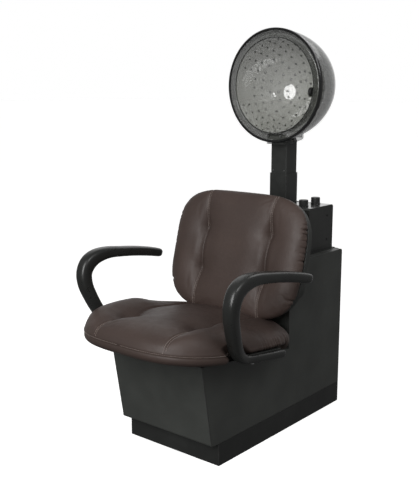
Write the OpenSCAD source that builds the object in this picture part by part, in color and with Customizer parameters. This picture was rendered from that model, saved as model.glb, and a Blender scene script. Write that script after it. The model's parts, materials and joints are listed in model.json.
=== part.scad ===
// Hooded dryer chair: an armchair on a laminated cabinet, with a blower in the cabinet,
// a telescopic square air duct as the mast, and a clear double-walled hood that tilts.
// Millimetres, +Z up, the sitter faces -Y. The origin is the middle of the footprint on the floor.

/* [Cabinet] */
// Width of the cabinet and its plinth
base_w = 403; // [400:1:410]
// Front to back length of the plinth
base_d = 749; // [745:1:760]
// Height of the plinth
plinth_h = 78; // [60:1:85]
// Thickness of the laminated boards
board_t = 16; // [14:1:18]
// Height of the seat deck above the front face of the plinth
deck_h = 352.3; // [345:0.1:360]
// Slope of the seat deck, down towards the back
deck_pitch = 7; // [6:0.5:8]
// Distance from the plinth's front face to the riser's front face
riser_y = 396; // [394:1:400]
// Height of the riser's top
riser_h = 615; // [610:1:620]
// How far the front panel's foot stands out past the plinth
toe_overhang = 40; // [30:1:45]
// How far the front panel's top stands out past the plinth
front_overhang = 86.5; // [80:0.5:90]

/* [Seat] */
// Width of the seat cushion
seat_w = 580; // [574:1:584]
// Front to back length of the seat cushion
seat_d = 636; // [628:1:640]
// Distance from the plinth's front face back to the middle of the seat cushion
seat_y = 62; // [58:1:64]
// Gap between the deck and the seat board
seat_gap = 25; // [24:0.5:28]
// Gap between the deck and the cushion's lower edge
seat_skirt = 17; // [14:1:20]
// Height of the seat cushion's crown above the deck
seat_crown = 128; // [118:1:132]

/* [Backrest] */
// Lean of the backrest from upright
back_lean = 15; // [14:0.5:16]
// Width of the back cushion
back_w = 570; // [562:1:574]
// Height of the back cushion
back_h = 452; // [446:1:456]
// Depth of the back cushion from its crown to its shell
back_depth = 52; // [45:1:55]

/* [Arms] */
// Width of an armrest
arm_w = 47; // [40:1:50]
// Half of the spread between the two armrests' middles, at their front
arm_spread = 324; // [322:1:327]
// Distance between the two bolts in an arm's foot
arm_bolt_pitch = 106; // [96:1:110]

/* [Mast] */
// Width of the fixed lower sleeve
sleeve_w = 76; // [76:1:78]
// Wall of the lower sleeve
sleeve_wall = 1.5; // [1:0.1:1.8]
// Width of the sliding upper tube
tube_w = 70; // [68:1:70]
// Wall of the upper tube
tube_wall = 2.5; // [2:0.1:3]
// Distance from the plinth's front face back to the mast's middle
mast_y = 639; // [636:1:642]
// Height of the sleeve's top
sleeve_top = 902; // [895:1:905]

/* [Hood] */
// Outer radius of the hood's rim
hood_r = 205.5; // [204:0.5:207]
// Radius of the inner bowl's mouth
mouth_r = 172; // [168:1:174]
// Depth of the outer dome
dome_depth = 268; // [262:1:272]
// Depth of the inner bowl
bowl_depth = 214; // [205:1:218]
// Wall of the dome and the bowl
hood_wall = 3; // [2.5:0.1:3.5]
// Height of the rim's middle
hood_z = 1225.5; // [1224:0.5:1227]
// Height of the pivot pin
pivot_z = 1031; // [1029:0.5:1032]

/* [Controls] */
// Width of the control box
box_w = 332; // [320:1:340]
// Depth of the control box
box_d = 164; // [160:1:166]
// Height of the control box
box_h = 170; // [160:1:175]
// Diameter of a control knob
knob_d = 37; // [34:1:40]
// Height of a control knob
knob_h = 24; // [20:1:26]

/* [Hidden] */
$fn = 48;

half_w = base_w / 2;
deck_slope = tan(deck_pitch);
cord_at = [130, 150];                  // place of the cord's grommet on the back, [x, z]
reveal = 1;                            // shadow line between the plinth and the body
side_z = plinth_h + reveal;
floor_top = plinth_h + board_t;
skin_t = 4;                            // lip of the front panel over the sides' front edges
front_lean = (front_overhang - toe_overhang) / (deck_h - side_z);

// Seat, in the deck's own sloping frame
seat_board_t = 15;
seat_board_top = seat_gap + seat_board_t;
seat_n = 3;                          // squareness of the seat's outline
rail_w = 30;
arm_plate_t = 4;
foot_top = seat_board_top;             // the arms' feet end level with the seat board's top
foot_inner = 256;                      // room in the cushion's underside for the feet

arm_bolt_x = 278;
arm_bolt_y = 73;

// Backrest, in its own leaning frame
back_o = [0, 300, 453];
back_mid = 191;                        // height of the outline's middle above the frame's origin
back_n = 3.3;                          // squareness of the back's outline
back_front = -35;
shell_y = back_front + back_depth;
shell_t = 16;
bracket_t = 6;
bracket_w = 40;
bracket_x = 95;
bracket_top = 190;                     // height of the bars' tops in the back's own frame
back_screw_levels = [110, 170];

// Air path
fan_y = mast_y - 64;
fan_z = 430;
fan_r = 68;
fan_w = 56;
scroll_r = 99;
duct_w = 70;
duct_bottom = 532;
duct_top = 586;
motor_r = 38;
motor_l = 72;
shaft_r = 4;
run_gap = 0.05;                        // radial clearance of every running fit

// Mast
tube_bottom = 690;
tube_shoulder = 1026;
ear_r = 13;
mast_screw_x = 25;
mast_screw_z = 912.5;
screw_head_t = 1.2;
pin_r = 5;
hood_y = 561;
rim_cap = 2.1;                         // exponent of the dome's profile
neck_front = 574;
neck_back = 717;
neck_w = 90;
neck_gap = 2.5;                        // between the mast and the neck, filled by the washers
neck_wall = (neck_w - tube_w) / 2 - neck_gap;
neck_round = 20;
neck_slot_round = 8;
hood_screw_x = 28;
hood_screw_drop = 183.6;                 // the hood's screws lie that far below the rim's middle
hood_screw_front = 8.4;                // depth of their heads behind the rim

// Controls
box_y = 568;
box_top = riser_h + box_h;
sheet_t = 1.5;
box_round = 9;
timer_at = [113, 608];
heat_at = [108, 698];
knob_shaft_r = 3;
plate_hole_r = 5;

// ---- shared shapes --------------------------------------------------------

// Moves a piece from the plinth's front face to the footprint's middle
module chair_frame() {
    translate([0, -base_d / 2, 0])
        children();
}

// The sloping frame of the seat deck, with its height counted from the deck
module on_deck() {
    translate([0, 0, deck_h])
        rotate([-deck_pitch, 0, 0])
            children();
}

// The leaning frame of the backrest: +Z up the back, +Y out of its rear
module on_back() {
    translate(back_o)
        rotate([-back_lean, 0, 0])
            children();
}

// A board lying in a side view: points are [y, z], drawn from x0 to x1
module side_view(points, x0, x1) {
    translate([x0, 0, 0])
        rotate([90, 0, 90])
            linear_extrude(x1 - x0)
                polygon(points);
}

// Mirrors its children to the other side for side = -1
module to_side(side) {
    mirror([side < 0 ? 1 : 0, 0, 0])
        children();
}

module box(lo, hi) {
    translate(lo)
        cube(hi - lo);
}

module rod_x(r, x0, x1, y, z) {
    translate([x0, y, z])
        rotate([0, 90, 0])
            cylinder(r = r, h = x1 - x0);
}

function deck_z(y) = deck_h - deck_slope * y;
function fillet(c, r, a0, a1, n = 6) = [for (i = [0:n]) c + r * [cos(a0 + (a1 - a0) * i / n), sin(a0 + (a1 - a0) * i / n)]];
function rounded(w, d, r) = concat(
    fillet([w / 2 - r, d / 2 - r], r, 0, 90), fillet([r - w / 2, d / 2 - r], r, 90, 180),
    fillet([r - w / 2, r - d / 2], r, 180, 270), fillet([w / 2 - r, r - d / 2], r, 270, 360));
function superellipse(a, b, n, count = 56) = [for (i = [0:count - 1])
    let (c = cos(360 * i / count), s = sin(360 * i / count))
    [a * sign(c) * pow(abs(c), 2 / n), b * sign(s) * pow(abs(s), 2 / n)]];
function meet(p, d, q, e) = p + d * ((q - p) * [e[1], -e[0]]) / (d * [e[1], -e[0]]);

// ---- cabinet --------------------------------------------------------------

module plinth_frame() {
    color("#262626") chair_frame()
        difference() {
            box([-half_w, 0, 0], [half_w, base_d, plinth_h]);
            box([board_t - half_w, board_t, -1], [half_w - board_t, base_d - board_t, plinth_h + 1]);
        }
}

module plinth_bottom_board() {
    color("#3a3028") chair_frame()
        box([board_t - half_w, board_t, 0], [half_w - board_t, base_d - board_t, 9]);
}

module cabinet_floor() {
    color("#3a3028") chair_frame()
        box([board_t - half_w, board_t - toe_overhang + 6, plinth_h],
            [half_w - board_t, base_d - board_t, floor_top]);
}

// Outline of a side panel, behind the front panel's lip
function side_outline() = concat(
    [[skin_t - toe_overhang + 9, side_z]],
    [[base_d, side_z]],
    fillet([base_d - 10, riser_h - 10], 10, 0, 90),
    [[riser_y, riser_h], [riser_y, deck_z(riser_y)]],
    [[skin_t - front_overhang, deck_z(skin_t - front_overhang)], [skin_t - toe_overhang, side_z + 12]]);

module side_panel(x0) {
    color("#2b2c2b") chair_frame()
        side_view(side_outline(), x0, x0 + board_t);
}

module left_side_panel() {
    side_panel(half_w - board_t);
}

module right_side_panel() {
    side_panel(-half_w);
}

// The front panel leans out; its thin lip covers the sides' front edges
module front_panel() {
    foot = [-toe_overhang, side_z];
    head = [-front_overhang, deck_z(-front_overhang)];
    head_rear = [skin_t - front_overhang, deck_z(skin_t - front_overhang)];
    color("#303131") chair_frame()
        union() {
            side_view(concat([head_rear, head],
                fillet(foot + [10, 10], 10, 172, 270), [foot + [skin_t + 8, 0]], [foot + [skin_t, 12]]),
                -half_w, half_w);
            side_view([head + [skin_t, -2], head + [board_t, -2], foot + [board_t, board_t + 1],
                foot + [skin_t, board_t + 1]], board_t - half_w, half_w - board_t);
        }
}

module back_panel() {
    color("#2b2c2b") chair_frame()
        difference() {
            box([board_t - half_w, base_d - board_t, floor_top], [half_w - board_t, base_d, riser_h - board_t]);
            box([-70, base_d - board_t - 1, 330], [70, base_d + 1, 450]);
            translate([cord_at[0], base_d - board_t - 1, cord_at[1]])
                rotate([-90, 0, 0])
                    cylinder(r = 11, h = board_t + 2);
        }
}

module seat_deck() {
    front = board_t - front_overhang + 0.5;
    color("#2b2c2b") chair_frame()
        side_view([[front, deck_z(front)], [front + board_t * front_lean, deck_z(front) - board_t],
            [riser_y, deck_z(riser_y) - board_t], [riser_y, deck_z(riser_y)]],
            board_t - half_w, half_w - board_t);
}

module riser_front_panel() {
    color("#2b2c2b") chair_frame()
        box([board_t - half_w, riser_y, deck_z(riser_y) - board_t],
            [half_w - board_t, riser_y + board_t, riser_h - board_t]);
}

module riser_top_panel() {
    hole = sleeve_w / 2 + 1;
    color("#2b2c2b") chair_frame()
        difference() {
            box([board_t - half_w, riser_y, riser_h - board_t], [half_w - board_t, base_d, riser_h]);
            box([-hole, mast_y - hole, riser_h - board_t - 1], [hole, mast_y + hole, riser_h + 1]);
        }
}

// Slotted steel grille over the blower's air intake, on the back
module intake_grille() {
    slots = 9;
    color("#1d1d1d") chair_frame()
        difference() {
            box([-82, base_d, 318], [82, base_d + 2, 462]);
            for (i = [0:slots - 1])
                box([-62, base_d - 1, 338 + i * 12], [62, base_d + 3, 344 + i * 12]);
        }
}

module cord_grommet() {
    color("#111111") chair_frame()
        translate([cord_at[0], base_d, cord_at[1]])
            rotate([-90, 0, 0])
                difference() {
                    union() {
                        translate([0, 0, -board_t])
                            cylinder(r = 11, h = board_t);
                        cylinder(r = 15, h = 4);
                        translate([0, 0, -board_t - 4])
                            cylinder(r = 15, h = 4);
                    }
                    translate([0, 0, -board_t - 5])
                        cylinder(r = 5, h = board_t + 10);
                }
}

// ---- seat -----------------------------------------------------------------

module seat_rails() {
    color("#151515") chair_frame() on_deck()
        for (side = [-1, 1])
            translate([side * 150, 0, 0])
                difference() {
                    box([-rail_w / 2, -62, 0], [rail_w / 2, 282, seat_gap]);
                    box([-rail_w / 2 + 2, -63, 2], [rail_w / 2 + 1, 283, seat_gap - 2]);
                }
}

module seat_board() {
    color("#6b4a30") chair_frame() on_deck()
        difference() {
            translate([0, 0, seat_gap])
                linear_extrude(seat_board_t)
                    seat_board_outline(0);
            bracket_slots(302, 0, seat_board_top + 1);
        }
}

// Room for the backrest's two steel bars, from y to the seat's rear edge
module bracket_slots(y, z0, z1) {
    half = bracket_w / 2 + 2;
    for (x = [-bracket_x, bracket_x])
        box([x - half, y, z0], [x + half, seat_d, z1]);
}

// Outline of the board in the seat cushion's underside
module seat_board_outline(grow) {
    translate([0, seat_y - 14])
        polygon(superellipse(foot_inner - 8 + grow, seat_d / 2 - 48 + grow, seat_n));
}

// Plain closed form of the seat cushion: its skirt hangs round the seat board, and it
// leaves room for the arms' feet and legs, the back's steel bars and the back cushion
module seat_cushion() {
    // [height, growth of the outline, thickness]
    levels = [[seat_skirt, -18, 1], [seat_skirt + 33, 0, 12], [seat_crown - 34, -20, 1], [seat_crown - 14, -55, 1],
        [seat_crown - 1, -120, 1]];
    color("#40342f") chair_frame()
        difference() {
            on_deck()
                translate([0, seat_y, 0])
                    hull()
                        for (level = levels)
                            translate([0, 0, level[0]])
                                linear_extrude(level[2])
                                    polygon(superellipse(seat_w / 2 + level[1], seat_d / 2 + level[1], seat_n));
            on_deck() {
                linear_extrude(seat_board_top)
                    seat_board_outline(1);
                for (side = [-1, 1])
                    to_side(side) {
                        box([foot_inner - 2, -75, 0], [seat_w, 262, foot_top + arm_plate_t + 1]);
                        box([170, 38, seat_board_top - 1], [foot_inner, 214, foot_top + arm_plate_t + 1]);
                        box([269, -118, 0], [seat_w, 34, seat_crown]);
                        box([258, -60, 0], [seat_w, 50, foot_top + 30]);
                    }
                bracket_slots(300, 0, seat_crown + 1);
            }
            on_back()
                box([-seat_w, back_front - 2, back_mid - back_h / 2 - 2], [seat_w, 120, back_mid + 100]);
        }
}

// ---- backrest -------------------------------------------------------------

// Two bent steel bars that carry the backrest from under the seat board
module back_brackets() {
    p_front = [190, deck_z(190) + seat_gap / cos(deck_pitch)];
    along = [cos(deck_pitch), -sin(deck_pitch)];
    down = [-sin(deck_pitch), -cos(deck_pitch)];
    up = [sin(back_lean), cos(back_lean)];
    out = [cos(back_lean), -sin(back_lean)];
    p_back = [back_o[1], back_o[2]] + out * (shell_y + shell_t);
    corner = meet(p_front, along, p_back, up);
    outer_corner = meet(p_front + down * bracket_t, along, p_back + out * bracket_t, up);
    top = p_back + up * bracket_top;
    color("#1a1a1a") chair_frame()
        for (side = [-1, 1])
            difference() {
                side_view([p_front, corner, top, top + out * bracket_t, outer_corner, p_front + down * bracket_t],
                    side * bracket_x - bracket_w / 2, side * bracket_x + bracket_w / 2);
                on_back()
                    for (w = back_screw_levels)
                        translate([side * bracket_x, 0, w])
                            rotate([-90, 0, 0])
                                cylinder(r = 3.2, h = 80);
            }
}

module back_board() {
    color("#6b4a30") chair_frame() on_back()
        translate([0, shell_y, back_mid])
            rotate([90, 0, 0])
                linear_extrude(10)
                    polygon(superellipse(back_w / 2 - 16, back_h / 2 - 16, back_n));
}

// Moulded tray behind the back cushion; its edge shows all round
module back_shell() {
    color("#1c1c1c") chair_frame() on_back()
        translate([0, 0, back_mid])
            rotate([90, 0, 0])
                difference() {
                    translate([0, 0, -shell_y - shell_t])
                        linear_extrude(shell_t + 8)
                            polygon(superellipse(back_w / 2 + 2, back_h / 2 - 6, back_n));
                    translate([0, 0, -shell_y])
                        linear_extrude(10)
                            polygon(superellipse(back_w / 2 - 3, back_h / 2 - 11, back_n));
                }
}

module back_cushion() {
    levels = [[8, -4.5, 1], [16, 0, 12], [back_depth - 14, -26, 1], [back_depth - 1, -80, 1]];
    color("#40342f") chair_frame() on_back()
        difference() {
            translate([0, shell_y, back_mid])
                rotate([90, 0, 0])
                    hull()
                        for (level = levels)
                            translate([0, 0, level[0]])
                                linear_extrude(level[2])
                                    polygon(superellipse(back_w / 2 + level[1], back_h / 2 - 6 + level[1], back_n));
            translate([0, shell_y + 1, back_mid])
                rotate([90, 0, 0])
                    linear_extrude(11)
                        polygon(superellipse(back_w / 2 - 15.5, back_h / 2 - 15.5, back_n));
        }
}

// Moulded cover over the steel bars behind the lower back
module back_support_cover() {
    color("#1c1c1c") chair_frame() on_back()
        difference() {
            translate([0, shell_y + shell_t, 131.5])
                rotate([-90, 0, 0])
                    linear_extrude(13)
                        polygon(rounded(564, 143, 40));
            for (side = [-1, 1])
                translate([side * bracket_x, shell_y + shell_t - 1, 0])
                    box([-bracket_w / 2 - 1, 0, 0], [bracket_w / 2 + 1, bracket_t + 6, bracket_top + 1]);
        }
}

module back_screws() {
    color("#8a8a8a") chair_frame() on_back()
        for (side = [-1, 1], w = back_screw_levels)
            translate([side * bracket_x, shell_y + shell_t, w])
                rotate([-90, 0, 0])
                    union() {
                        cylinder(r = 3, h = bracket_t);
                        translate([0, 0, bracket_t])
                            cylinder(r = 5.5, h = 3);
                    }
}

// ---- arms -----------------------------------------------------------------

// Centre line of an arm from its rear tip to its foot: [x from the spread, y, z, thickness, width]
arm_path = [
    [14, 309, 597, 28, 40], [13, 285, 604, 33, 45], [9, 230, 616.5, 35, 47], [3, 157, 630, 36, 48],
    [-1, 82, 640.5, 37, 49], [-1, 18, 646.5, 41, 49], [0, -36, 641, 49, 49], [1, -73, 622, 54, 48],
    [1, -92, 589, 50, 47], [-3, -91, 548, 47, 46], [-10, -76, 505, 44, 45], [-19, -55, 460, 41, 45],
    [-29, -29, 420, 38, 44], [-39, 5, 391, 33, 44], [-45, 50, 374, 29, 44], [-42, 120, 364.5, 28, 44],
    [-38, 185, 356.5, 28, 43], [-36, 224, 351.5, 28, 40]
];
arm_sides = 16;
arm_smooth = 2;                        // rings between two points of the centre line

// Catmull-Rom curve through the centre line's points
function spline(p, i, t) = let (
    a = p[max(i - 1, 0)], b = p[i], c = p[min(i + 1, len(p) - 1)], d = p[min(i + 2, len(p) - 1)])
    0.5 * (2 * b + t * (c - a) + t * t * (2 * a - 5 * b + 4 * c - d) + t * t * t * (3 * b - a - 3 * c + d));

arm_rings = concat(
    [for (i = [0:len(arm_path) - 2], k = [0:arm_smooth - 1]) spline(arm_path, i, k / arm_smooth)],
    [arm_path[len(arm_path) - 1]]);

// One ring of the arm: a rounded rectangle square to the centre line
function arm_ring(k, side) = let (
    here = arm_rings[k],
    ahead = arm_rings[min(k + 1, len(arm_rings) - 1)] - arm_rings[max(k - 1, 0)],
    run = norm([ahead[1], ahead[2]]),
    up = [-ahead[2] / run, ahead[1] / run],
    section = superellipse(here[4] / 2, here[3] / 2, 3.2, arm_sides))
    [for (p = section) [side * (arm_spread + here[0] + p[0]), here[1] + up[0] * p[1], here[2] + up[1] * p[1]]];

module arm(side) {
    last = len(arm_rings) - 1;
    points = [for (k = [0:last]) each arm_ring(k, side)];
    walls = [for (k = [0:last - 1], i = [0:arm_sides - 1])
        let (j = (i + 1) % arm_sides)
        each [[k * arm_sides + i, (k + 1) * arm_sides + i, k * arm_sides + j],
            [k * arm_sides + j, (k + 1) * arm_sides + i, (k + 1) * arm_sides + j]]];
    caps = [[for (i = [0:arm_sides - 1]) i], [for (i = [0:arm_sides - 1]) last * arm_sides + arm_sides - 1 - i]];
    faces = [for (f = concat(walls, caps)) side > 0 ? f : [for (i = [len(f) - 1:-1:0]) f[i]]];
    color("#1b1b1b") chair_frame()
        difference() {
            polyhedron(points, faces, convexity = 6);
            on_deck()
                to_side(side) {
                    box([170, 39, foot_top], [292.5, 213, foot_top + 20]);
                    arm_bolt_holes();
                }
        }
}

module arm_bolt_holes() {
    for (y = [arm_bolt_y, arm_bolt_y + arm_bolt_pitch])
        translate([arm_bolt_x, y, -20])
            cylinder(r = 4.2, h = 90);
}

module left_arm() {
    arm(1);
}

module right_arm() {
    arm(-1);
}

// Steel plates over the seat board's edge that the arms' feet bolt up to
module arm_plates() {
    color("#1a1a1a") chair_frame() on_deck()
        for (side = [-1, 1])
            to_side(side)
                difference() {
                    box([172, 40, foot_top], [292, 212, foot_top + arm_plate_t]);
                    arm_bolt_holes();
                }
}

module arm_bolts() {
    head_z = 8;
    color("#b9b9b9") chair_frame() on_deck()
        for (side = [-1, 1], y = [arm_bolt_y, arm_bolt_y + arm_bolt_pitch])
            translate([side * arm_bolt_x, y, head_z])
                union() {
                    cylinder(r = 4, h = foot_top + arm_plate_t - head_z);
                    cylinder(r = 7, h = 4.5);
                }
}

// ---- blower and heater ----------------------------------------------------

module blower_housing() {
    half = fan_w / 2 + 5;
    color("#9a9a9a") chair_frame()
        difference() {
            union() {
                rod_x(scroll_r, -half, half, fan_y, fan_z);
                box([-half, mast_y - duct_w / 2, fan_z], [half, mast_y + duct_w / 2 - 1, duct_bottom]);
                box([-duct_w / 2, mast_y - duct_w / 2, duct_bottom - 22], [duct_w / 2, mast_y + duct_w / 2, duct_bottom]);
            }
            rod_x(scroll_r - 2, 2 - half, half - 2, fan_y, fan_z);
            box([2 - half, mast_y - duct_w / 2 + 2, fan_z], [half - 2, mast_y + duct_w / 2 - 3, duct_bottom + 1]);
            rod_x(46, half - 3, half + 3, fan_y, fan_z);
            rod_x(16, -half - 3, 3 - half, fan_y, fan_z);
        }
}

module blower_motor() {
    inner = -fan_w / 2 - 12;
    color("#5c6062") chair_frame()
        difference() {
            union() {
                rod_x(motor_r, inner - motor_l, inner, fan_y, fan_z);
                rod_x(12, inner - motor_l - 8, inner + 4, fan_y, fan_z);
            }
            rod_x(shaft_r + run_gap, inner - motor_l - 9, inner + 5, fan_y, fan_z);
        }
}

// Plate that joins the motor to the housing, with two feet down to the cabinet floor
module motor_plate() {
    face = -fan_w / 2 - 5;
    color("#9a9a9a") chair_frame()
        union() {
            difference() {
                box([face - 3, fan_y - 60, floor_top], [face, fan_y + 60, fan_z + 60]);
                rod_x(13, face - 4, face + 1, fan_y, fan_z);
                box([face - 4, fan_y - 40, floor_top + 40], [face + 1, fan_y + 40, fan_z - 120]);
            }
            difference() {
                rod_x(motor_r - 6, face - 7, face - 3, fan_y, fan_z);
                rod_x(13, face - 8, face - 2, fan_y, fan_z);
            }
            box([face - 60, fan_y - 60, floor_top], [face, fan_y + 60, floor_top + 3]);
        }
}

module blower_impeller() {
    blades = 24;
    color("#b0b0b0") chair_frame()
        translate([0, fan_y, fan_z])
            rotate([0, 90, 0])
                difference() {
                    union() {
                        translate([0, 0, -fan_w / 2 + 2])
                            cylinder(r = fan_r, h = 2);
                        translate([0, 0, -fan_w / 2 + 2])
                            cylinder(r = 11, h = 24);
                        translate([0, 0, fan_w / 2 - 5])
                            difference() {
                                cylinder(r = fan_r, h = 3);
                                translate([0, 0, -1])
                                    cylinder(r = fan_r - 13, h = 5);
                            }
                        for (i = [0:blades - 1])
                            rotate([0, 0, 360 * i / blades])
                                translate([fan_r - 11, -1, -fan_w / 2 + 3])
                                    rotate([0, 0, 20])
                                        cube([10, 1.5, fan_w - 7]);
                    }
                    translate([0, 0, -fan_w / 2])
                        cylinder(r = shaft_r, h = 40);
                }
}

module motor_shaft() {
    color("#c8c8c8") chair_frame()
        rod_x(shaft_r, -fan_w / 2 - motor_l - 24, -fan_w / 2 + 26, fan_y, fan_z);
}

module heater_duct() {
    half = sleeve_w / 2;
    color("#9a9a9a") chair_frame()
        difference() {
            box([-half, mast_y - half, duct_bottom], [half, mast_y + half, duct_top]);
            box([1 - half, mast_y - half + 1, duct_bottom + 2], [half - 1, mast_y + half - 1, duct_top + 1]);
            box([-32, mast_y - 32, duct_bottom - 1], [32, mast_y + 31, duct_bottom + 3]);
        }
}

coil_levels = [546, 554, 562, 570];
coil_r = 24;
wire_r = 1.2;

module coil_rings(r) {
    for (z = coil_levels)
        translate([0, mast_y, z])
            rotate_extrude()
                translate([coil_r, 0])
                    circle(r = r, $fn = 24);
}

module heater_frame() {
    reach = sleeve_w / 2 - 1;
    color("#d8d2c0") chair_frame()
        difference() {
            union() {
                box([-reach, mast_y - 0.8, 538], [reach, mast_y + 0.8, 580]);
                box([-0.8, mast_y - reach, 538], [0.8, mast_y + reach, 580]);
            }
            coil_rings(wire_r + 0.1);
        }
}

module heater_coil() {
    color("#b58f6a") chair_frame()
        coil_rings(wire_r);
}

module thermostat() {
    color("#d8d2c0") chair_frame()
        rod_x(9, sleeve_w / 2, sleeve_w / 2 + 7, mast_y, 560);
}

// ---- mast -----------------------------------------------------------------

module square_tube(w, wall, z0, z1, r) {
    translate([0, mast_y, z0])
        linear_extrude(z1 - z0)
            difference() {
                polygon(rounded(w, w, r));
                square(w - 2 * wall, center = true);
            }
}

// Fixed lower tube with the plate that screws it to the riser
module mast_sleeve() {
    color("#1f2020") chair_frame()
        union() {
            square_tube(sleeve_w, sleeve_wall, duct_top, sleeve_top, 2.5);
            translate([0, mast_y, riser_h + 2])
                linear_extrude(3)
                    difference() {
                        square(118, center = true);
                        square(sleeve_w - 1, center = true);
                    }
        }
}

module sleeve_guides() {
    bore = tube_w + 2 * run_gap;
    color("#e6e2d6") chair_frame()
        for (z = [750, sleeve_top - 24])
            translate([0, mast_y, z])
                linear_extrude(20)
                    difference() {
                        square(sleeve_w - 2 * sleeve_wall, center = true);
                        square(bore, center = true);
                    }
}

// Sliding upper tube; its two side walls end in ears for the pivot pin
module mast_tube() {
    color("#1f2020") chair_frame()
        difference() {
            union() {
                square_tube(tube_w, tube_wall, tube_bottom, tube_shoulder, 2.5);
                for (side = [-1, 1])
                    translate([side > 0 ? tube_w / 2 - tube_wall : -tube_w / 2, mast_y, 0])
                        union() {
                            box([0, -ear_r, tube_shoulder - 1], [tube_wall, ear_r, pivot_z]);
                            rod_x(ear_r, 0, tube_wall, 0, pivot_z);
                        }
            }
            rod_x(pin_r + run_gap, -60, 60, mast_y, pivot_z);
            mast_screw_shapes(tube_wall + 1);
        }
}

// The two flush screws in the tube's front face, with shanks of that length
module mast_screw_shapes(length) {
    for (x = [-mast_screw_x, mast_screw_x])
        translate([x, mast_y - tube_w / 2, mast_screw_z])
            rotate([-90, 0, 0])
                union() {
                    cylinder(r = 2.7, h = screw_head_t);
                    cylinder(r = 2, h = length);
                }
}

module mast_screws() {
    color("#8a8a8a") chair_frame()
        mast_screw_shapes(tube_wall);
}

// ---- control box ----------------------------------------------------------

module box_profile(inset) {
    translate([box_y + box_d / 2, riser_h + box_h / 2])
        polygon(rounded(box_d - 2 * inset, box_h - 2 * inset, box_round - inset));
}

// Folded cover: front, top and back in one sheet
module control_box_wrap() {
    hole = sleeve_w / 2 + 1;
    color("#232424") chair_frame()
        difference() {
            translate([-box_w / 2, 0, 0])
                rotate([90, 0, 90])
                    linear_extrude(box_w)
                        difference() {
                            box_profile(0);
                            box_profile(sheet_t);
                            translate([box_y - 1, riser_h - 1])
                                square([box_d + 2, 13]);
                        }
            box([-hole, mast_y - hole, box_top - 10], [hole, mast_y + hole, box_top + 1]);
            for (at = [timer_at, heat_at])
                translate([at[0], at[1], box_top - 10])
                    cylinder(r = plate_hole_r, h = 20);
        }
}

module box_end(x0) {
    color("#232424") chair_frame()
        difference() {
            translate([x0, 0, 0])
                rotate([90, 0, 90])
                    linear_extrude(sheet_t)
                        box_profile(sheet_t);
            box([x0 - 1, box_y, riser_h - 1], [x0 + 3, box_y + box_d, riser_h + 12]);
            for (z = [riser_h + 40, riser_h + 131])
                rod_x(1.8, x0 - 1, x0 + 3, box_y + 125, z);
        }
}

module control_box_left_end() {
    box_end(box_w / 2 - sheet_t - 1);
}

module control_box_right_end() {
    box_end(1 - box_w / 2);
}

// Foot flange that the folded cover screws to
module control_box_flange() {
    in = sheet_t + 1;
    color("#161616") chair_frame()
        difference() {
            union() {
                box([-box_w / 2 - 4, box_y - 6, riser_h], [box_w / 2 + 4, box_y + box_d + 13, riser_h + 3]);
                box([-box_w / 2, box_y, riser_h + 3], [box_w / 2, box_y + box_d, riser_h + 12]);
            }
            box([in - box_w / 2, box_y + in, riser_h - 1], [box_w / 2 - in, box_y + box_d - in, riser_h + 13]);
        }
}

module control_box_screws() {
    color("#3a3a3a") chair_frame()
        for (side = [-1, 1], z = [riser_h + 40, riser_h + 131])
            translate([side * (box_w / 2 - 1), box_y + 125, z])
                rotate([0, side * 90, 0])
                    union() {
                        cylinder(r = 3.4, h = 1.6);
                        translate([0, 0, -sheet_t])
                            cylinder(r = 1.7, h = sheet_t);
                    }
}

// Body of a rotary control, hung under the box's top
module control_body(at, depth) {
    translate([at[0], at[1], 0])
        difference() {
            box([-22, -22, box_top - sheet_t - depth], [22, 22, box_top - sheet_t]);
            translate([0, 0, box_top - sheet_t - 20])
                cylinder(r = knob_shaft_r + run_gap, h = 21);
        }
}

module control_shaft(at) {
    color("#c8c8c8") chair_frame()
        translate([at[0], at[1], box_top - sheet_t - 19.5])
            cylinder(r = knob_shaft_r, h = 19.5 + sheet_t + 16);
}

module control_knob(at) {
    grooves = 16;
    color("#1a1a1a") chair_frame()
        translate([at[0], at[1], box_top + 0.8])
            difference() {
                rotate_extrude()
                    polygon(concat([[0, 0], [knob_d / 2, 0], [knob_d / 2, 3], [knob_d / 2 - 1.2, 4]],
                        fillet([knob_d / 2 - 3.4, knob_h - 2], 2, 0, 90, 4), [[0, knob_h]]));
                for (i = [0:grooves - 1])
                    rotate([0, 0, 360 * i / grooves])
                        translate([knob_d / 2 - 0.4, 0, 5])
                            cylinder(r = 1.1, h = knob_h);
                translate([0, 0, -1])
                    cylinder(r = knob_shaft_r, h = 16.2);
                box([-0.7, -knob_d / 2, knob_h - 0.8], [0.7, -2, knob_h + 1]);
            }
}

module timer_body() {
    color("#d8d2c0") chair_frame() control_body(timer_at, 46);
}

module timer_shaft() {
    control_shaft(timer_at);
}

module timer_knob() {
    control_knob(timer_at);
}

module heat_switch_body() {
    color("#3a3a3a") chair_frame() control_body(heat_at, 30);
}

module heat_switch_shaft() {
    control_shaft(heat_at);
}

module heat_knob() {
    control_knob(heat_at);
}

// ---- hood -----------------------------------------------------------------

// Turns a profile of [radius, depth] about the hood's level axis, open side to the front
module hood_turn() {
    translate([0, hood_y, hood_z])
        rotate([-90, 0, 0])
            rotate_extrude($fn = 96)
                children();
}

// Quarter of a rounded bowl, from its pole to its mouth
function bowl_arc(r, depth, n = 22) = [for (i = [0:n])
    let (a = 90 * i / n)
    [r * pow(sin(a), 2 / rim_cap), depth * pow(cos(a), 2 / rim_cap)]];
function reversed(p) = [for (i = [len(p) - 1:-1:0]) p[i]];

module dome_solid(r, depth) {
    hood_turn()
        polygon(concat(bowl_arc(r, depth), [[0, 0]]));
}

// Upright prism with the neck's plan, drawn in by inset
module neck_plan(inset, round_r, z0, z1) {
    translate([0, (neck_front + neck_back) / 2, z0])
        linear_extrude(z1 - z0)
            polygon(rounded(neck_w - 2 * inset, neck_back - neck_front - 2 * inset, round_r));
}

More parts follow.
